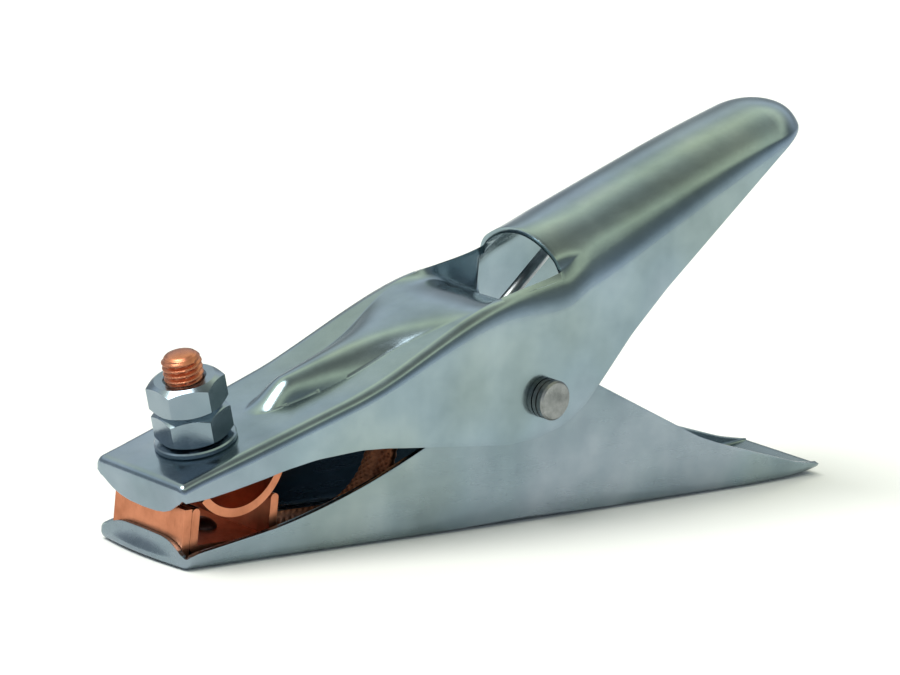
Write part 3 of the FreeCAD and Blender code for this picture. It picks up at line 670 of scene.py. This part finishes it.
def lower_front_rows():
    """Near corner, front lip and far corner as one strip standing on the floor's front."""
    inner = lower_half(LOWER_FOLD) - LOWER_FOLD
    side_height, lip_height = lower_top(LOWER_FOLD), along(inner, LOWER_LIP)

    def corner(turn, side):
        a = math.pi / 2 * turn
        out = (-math.sin(a), side * math.cos(a), 0)
        height = side_height + (lip_height - side_height) * math.sin(a) ** 2
        height -= LOWER_CORNER_DIP * math.sin(2 * a) ** 2
        fold = fold_profile(LOWER_FOLD, LOWER_FOLD, height)
        return strip_row((LOWER_FOLD, side * inner, 0), out, (0, 0, 1), fold)

    def bowed(point, height):
        x, y, z = point
        bow = LIP_BOW * (1 - (y / inner) ** 2)
        return (x - bow * (LOWER_FOLD - x) / LOWER_FOLD * (1 - z / height) ** 2, y, z)

    rows = [corner(turn, -1) for turn in CORNER_TURNS]
    for across in FLOOR_SPREAD[1:-1]:
        y = inner * across
        height = lip_edge(y, inner, LOWER_LIP)
        fold = fold_profile(LOWER_FOLD, LOWER_FOLD, height)
        row = strip_row((LOWER_FOLD, y, 0), (-1, 0, 0), (0, 0, 1), fold)
        rows.append([bowed(point, height) for point in row])
    return rows + [corner(1 - turn, 1) for turn in CORNER_TURNS]


def build_lower_lever():
    skin = Skin()
    skin.add(lower_front_rows())
    stations = [LOWER_FOLD]
    fine, coarse = 0.5, 1.2
    while stations[-1] < LOWER_LENGTH - coarse / 2:
        x = stations[-1]
        stations.append(x + (fine if x < 8 or abs(x - PIVOT_X) < 12 else coarse))
    stations[-1] = LOWER_LENGTH
    skin.add([lower_row(x) for x in stations])
    thing = skin.build("lower_lever_pressing", "zinc_sheet", (0, 0, -1))
    thing.data.materials[0] = MATERIALS["dull_zinc"]
    pressed_sheet(thing)
    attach(thing, "lower_body")
    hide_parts("lower_lever")


# ---------------------------------------------------------------- stud

STUD_ALONG = 19.1
STUD_FOOT = (UPPER_X + STUD_ALONG * math.cos(SLOPE), UPPER_Z + STUD_ALONG * math.sin(SLOPE))


def stand_on_stud(thing):
    """Moves a piece built about Z, with z = 0 on the deck, onto the tilted stud axis."""
    foot = Vector(place(STUD_FOOT[0], 0, STUD_FOOT[1]))
    thing.data.transform(Matrix.Translation(foot) @ Matrix.Rotation(-SLOPE, 4, "Y"))
    thing.data.update()
    return thing


def turned(points, turns):
    """Vertices and faces of a solid turned about Z; points(i) is the outline at step i."""
    vertices, faces = [], []
    for i in range(turns):
        a = 2 * math.pi * i / turns
        outline = points(i)
        vertices += [(r * math.cos(a) / 1000, r * math.sin(a) / 1000, z / 1000) for r, z in outline]
    n = len(outline)
    for i in range(turns):
        j = (i + 1) % turns
        for k in range(n - 1):
            faces.append([i * n + k, j * n + k, j * n + k + 1, i * n + k + 1])
    faces.append([i * n for i in reversed(range(turns))])
    faces.append([i * n + n - 1 for i in range(turns)])
    return vertices, faces


def build_stud():
    """Hexagon-headed stud whose exposed end carries a rolled thread."""
    pitch, crest, root, shank = 1.5, 4.97, 4.1, 4.5
    start, held_to, top, chamfer, dome_height = 16.5, 17.62, 23.6, 1.0, 0.6
    head_half, head_top = 7.5, -5.1
    turns, rings = 72, 10
    count = int((top - start) / pitch * rings) + 1
    heights = [start + (top - start) * k / (count - 1) for k in range(count)]

    def outline(i):
        """Shank, thread and domed end at step i of a turn; the nuts hold it up to held_to."""
        column = [(shank, head_top), (shank, start - 0.4)]
        for z in heights:
            phase = (z / pitch - i / turns) % 1.0
            wave = 1 - abs(2 * phase - 1)
            lobe = min(1.0, max(0.0, (wave - 0.08) / 0.78))
            radius = root + (crest - root) * lobe
            radius = min(radius, crest - 1.05 * max(0.0, z - (top - chamfer)))
            column.append((min(radius, shank) if z < held_to else radius, z))
        rim = column[-1][0] - 0.3
        for t in (0, 0.35, 0.7, 1.05, 1.4):
            column.append((rim * math.cos(t), top + dome_height * math.sin(t)))
        return column

    vertices, faces = turned(outline, turns)
    base = len(vertices)
    corner = head_half / math.cos(math.pi / 6)
    for z, share in ((-8.9, 0.93), (-8.5, 0.999), (head_top, 0.999), (-4.9, 0.95)):
        radius = corner * share / 1000
        for k in range(6):
            a = math.pi / 3 * k
            vertices.append((radius * math.cos(a), radius * math.sin(a), z / 1000))
    for level in range(3):
        for k in range(6):
            a, b = base + level * 6 + k, base + level * 6 + (k + 1) % 6
            faces.append([a, b, b + 6, a + 6])
    faces.append([base + k for k in reversed(range(6))])
    faces.append([base + 18 + k for k in range(6)])
    thing = stand_on_stud(new_mesh("threaded_stud", vertices, faces, "copper_plate", 50))
    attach(thing, "upper_body")
    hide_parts("stud_bolt")


# ---------------------------------------------------------------- braided strap

STRAP_LOOP_X = 60.0
# Height of the strap's middle line over the lever's outer face: sheet, gap and half the braid.
STRAP_RUN = SHEET + 0.3 + 1.6


def strap_path():
    """Middle line from the ferrule along the floor, round a loop and back under the deck."""
    radius = (deck_level(STRAP_LOOP_X) - STRAP_RUN) * math.cos(SLOPE) - STRAP_RUN
    radius /= 1 + math.cos(SLOPE)
    centre = (STRAP_LOOP_X, STRAP_RUN + radius)
    tangent = (math.cos(SLOPE), math.sin(SLOPE))
    up = (-math.sin(SLOPE), math.cos(SLOPE))
    start_x, lug_ahead = 35.0, 19
    end = [STUD_FOOT[i] + tangent[i] * lug_ahead - up[i] * STRAP_RUN for i in range(2)]
    path = [(start_x + (centre[0] - start_x) * i / 20, STRAP_RUN) for i in range(20)]
    sweep = math.pi + SLOPE
    for i in range(81):
        a = -math.pi / 2 + sweep * i / 80
        path.append((centre[0] + radius * math.cos(a), centre[1] + radius * math.sin(a)))
    last = path[-1]
    for i in range(1, 15):
        path.append(tuple(last[k] + (end[k] - last[k]) * i / 14 for k in range(2)))
    return resample(path, 340)


def build_strap():
    """Flat braid whose two sets of strands cross on its faces."""
    half_height, half_width = 1.5, 5.1
    braid_pitch, braid_depth = 2.0, 0.2
    path, around = strap_path(), 88
    vertices = []
    travelled = 0.0
    for k, (x, z) in enumerate(path):
        before, after = path[max(0, k - 1)], path[min(len(path) - 1, k + 1)]
        length = math.dist(before, after)
        side = (-(after[1] - before[1]) / length, (after[0] - before[0]) / length)
        if k:
            travelled += math.dist(path[k - 1], path[k])
        for i in range(around):
            a = 2 * math.pi * i / around
            c, s = math.cos(a), math.sin(a)
            y = half_width * math.copysign(abs(c) ** 0.7, c)
            h = half_height * math.copysign(abs(s) ** 0.45, s)
            one = math.sin((travelled + y) * 2 * math.pi / braid_pitch)
            two = math.sin((travelled - y) * 2 * math.pi / braid_pitch)
            groove = braid_depth * max(one, two) - braid_depth
            h += math.copysign(min(abs(h), abs(groove)), -h) if h else 0.0
            vertices.append(place(x + side[0] * h, y, z + side[1] * h))
    faces = tube_faces(len(path), around)
    # The braid's finish is darkened with painted shade for the inside of the jaw.
    thing = new_mesh("woven_strap", vertices, faces, "copper_braid", 60)
    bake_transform(thing)
    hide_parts("braided_strap")


# ---------------------------------------------------------------- closing spring


def build_spring():
    """Round wire: lower leg, close coil round the sleeve, upper leg."""
    wire, coil, pitch = 1.58, 7.2, 3.4
    lower, upper = 27.0, 43.0
    lower_leg, upper_leg, leg_steps = 52.8, 60.5, 30
    first, last = 270 - lower, 90 + upper
    turns = 5 + (first - last) / 360
    start_y = -1.5 - turns * pitch / 2
    path = []
    a = math.radians(first)
    foot = (PIVOT_X + coil * math.cos(a), start_y, PIVOT_Z + coil * math.sin(a))
    down = (math.cos(math.radians(lower)), 0, -math.sin(math.radians(lower)))
    for i in range(leg_steps):
        s = lower_leg * (1 - i / leg_steps)
        path.append((foot[0] + down[0] * s, foot[1], foot[2] + down[2] * s))
    count = int(turns * 48)
    for i in range(count + 1):
        a = math.radians(first - turns * 360 * i / count)
        y = start_y + turns * pitch * i / count
        path.append((PIVOT_X + coil * math.cos(a), y, PIVOT_Z + coil * math.sin(a)))
    tip = path[-1]
    rise = (math.cos(math.radians(upper)), 0, math.sin(math.radians(upper)))
    for i in range(1, leg_steps + 1):
        s = upper_leg * i / leg_steps
        path.append((tip[0] + rise[0] * s, tip[1], tip[2] + rise[2] * s))
    around = 16
    vertices = []
    normal = Vector((0, 1, 0))
    for k, p in enumerate(path):
        before, after = Vector(path[max(0, k - 1)]), Vector(path[min(len(path) - 1, k + 1)])
        forward = (after - before).normalized()
        normal = (normal - forward * normal.dot(forward)).normalized()
        other = forward.cross(normal)
        end_fade = 0.75 if k in (0, len(path) - 1) else 1.0
        for i in range(around):
            a = 2 * math.pi * i / around
            v = Vector(p) + (normal * math.cos(a) + other * math.sin(a)) * wire * end_fade
            vertices.append(place(*v))
    thing = new_mesh("wound_spring", vertices, tube_faces(len(path), around), "spring_steel", 60)
    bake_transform(thing)
    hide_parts("closing_spring")


# ---------------------------------------------------------------- CAD nodes


def finish_cad_nodes():
    """Softens the fasteners' edges and gives every node the material its slot names."""
    for node in ("stud_washer", "clamp_nut", "cable_nut", "pivot_pin"):
        soften_edges(frame["nodes"][node], 3, 24)
    slots = {entry["node"]: entry["material_slot"] for entry in frame["record"]["subparts"]}
    for node, thing in frame["nodes"].items():
        for holder in thing.material_slots:
            holder.link = "OBJECT"
            holder.material = MATERIALS[slots[node]]


# ---------------------------------------------------------------- floor, light, camera


def build_floor():
    """A wide pale sheet just under the clamp."""
    size = 6.0
    corners = [(-size, -size, 0), (size, -size, 0), (size, size, 0), (-size, size, 0)]
    mesh = bpy.data.meshes.new("floor")
    mesh.from_pydata(corners, [], [[0, 1, 2, 3]])
    floor = bpy.data.objects.new("floor", mesh)
    floor.location.z = -0.0001
    bpy.context.scene.collection.objects.link(floor)
    paint = Paint("floor_paper")
    grey, pale = (0.93, 0.93, 0.93), (0.95, 0.95, 0.95)
    shade = paint.ramp(paint.noise(6, 2, 0.5), [(0.3, grey), (0.7, pale)])
    mesh.materials.append(paint.finish(shade, 0.9, 0.0))


def soft_light(name, towards, width, strength, colour):
    """A broad distant light that shines from the direction towards."""
    lamp = bpy.data.lights.new(name, "SUN")
    lamp.angle = math.radians(width)
    lamp.energy = strength
    lamp.color = colour
    thing = bpy.data.objects.new(name, lamp)
    thing.rotation_euler = Vector(towards).to_track_quat("Z", "Y").to_euler()
    bpy.context.scene.collection.objects.link(thing)


# Colours of the studio by height: 0 at the horizon, 1 straight overhead.
FRONT_SKY = [
    (0.0, (0.90, 0.95, 0.98)), (0.10, (0.84, 0.90, 0.95)), (0.26, (0.56, 0.62, 0.67)),
    (0.48, (0.28, 0.32, 0.34)), (0.72, (0.24, 0.27, 0.26)), (0.84, (1.15, 1.2, 0.86)),
    (0.93, (0.42, 0.42, 0.34)), (1.0, (0.22, 0.23, 0.2)),
]
BACK_SKY = [
    (0.0, (0.80, 0.83, 0.84)), (0.12, (0.40, 0.44, 0.46)), (0.34, (0.34, 0.38, 0.40)),
    (0.54, (0.90, 0.98, 1.04)), (0.64, (0.80, 0.86, 0.80)), (0.80, (1.35, 1.4, 1.0)),
    (0.92, (0.72, 0.74, 0.6)), (1.0, (0.28, 0.29, 0.25)),
]


def build_world():
    """A studio with a pale horizon, a bright band high up and a dark top; brighter behind."""
    world = bpy.data.worlds.new("studio")
    world.use_nodes = True
    tree = world.node_tree
    direction = tree.nodes.new("ShaderNodeTexCoord").outputs["Generated"]
    split = tree.nodes.new("ShaderNodeSeparateXYZ")
    tree.links.new(direction, split.inputs["Vector"])
    front = colour_ramp(tree, split.outputs["Z"], FRONT_SKY)
    back = colour_ramp(tree, split.outputs["Z"], BACK_SKY)
    side = tree.nodes.new("ShaderNodeMapRange")
    side.inputs["From Min"].default_value = -0.2
    side.inputs["From Max"].default_value = 0.3
    tree.links.new(split.outputs["Y"], side.inputs["Value"])
    mix = tree.nodes.new("ShaderNodeMix")
    mix.data_type = "RGBA"
    tree.links.new(side.outputs["Result"], mix.inputs[MIX_FACTOR])
    tree.links.new(front, mix.inputs[MIX_FIRST])
    tree.links.new(back, mix.inputs[MIX_SECOND])
    tree.links.new(mix.outputs[MIX_RESULT], tree.nodes["Background"].inputs["Color"])
    bpy.context.scene.world = world


def build_camera():
    """The photograph's viewpoint: a long lens, low and to the left, slightly rolled."""
    azimuth, elevation, roll = math.radians(-44.15), math.radians(12.66), math.radians(5.57)
    distance, shift_x, shift_y = 1209.35, -7.7, 14.63
    target = Vector((110, 0, 30))
    scale, image_width, sensor = 3.88, 900, 36
    level = math.cos(elevation)
    back = Vector((math.sin(azimuth) * level, -math.cos(azimuth) * level, math.sin(elevation)))
    right = Vector((math.cos(azimuth), math.sin(azimuth), 0))
    up = back.cross(right)
    c, s = math.cos(roll), math.sin(roll)
    right, up = right * c + up * s, up * c - right * s
    spot = target + back * distance + right * shift_x + up * shift_y
    data = bpy.data.cameras.new("camera")
    data.sensor_fit = "HORIZONTAL"
    data.sensor_width = sensor
    data.lens = scale * distance * sensor / image_width
    data.clip_start, data.clip_end = 0.05, 20
    thing = bpy.data.objects.new("camera", data)
    turn = Matrix((right, up, back)).transposed().to_4x4()
    thing.matrix_world = Matrix.Translation(Vector(place(*spot))) @ turn
    bpy.context.scene.collection.objects.link(thing)
    bpy.context.scene.camera = thing


# ---------------------------------------------------------------- build

build_upper_lever()
build_lower_lever()
build_stud()
build_strap()
build_spring()
finish_cad_nodes()
build_floor()
soft_light("key_light", (-0.42, 0.15, 0.89), 36, 2.3, (1, 1, 0.97))
build_world()
bpy.context.scene.view_settings.view_transform = "Standard"
build_camera()

bpy.context.view_layer.update()
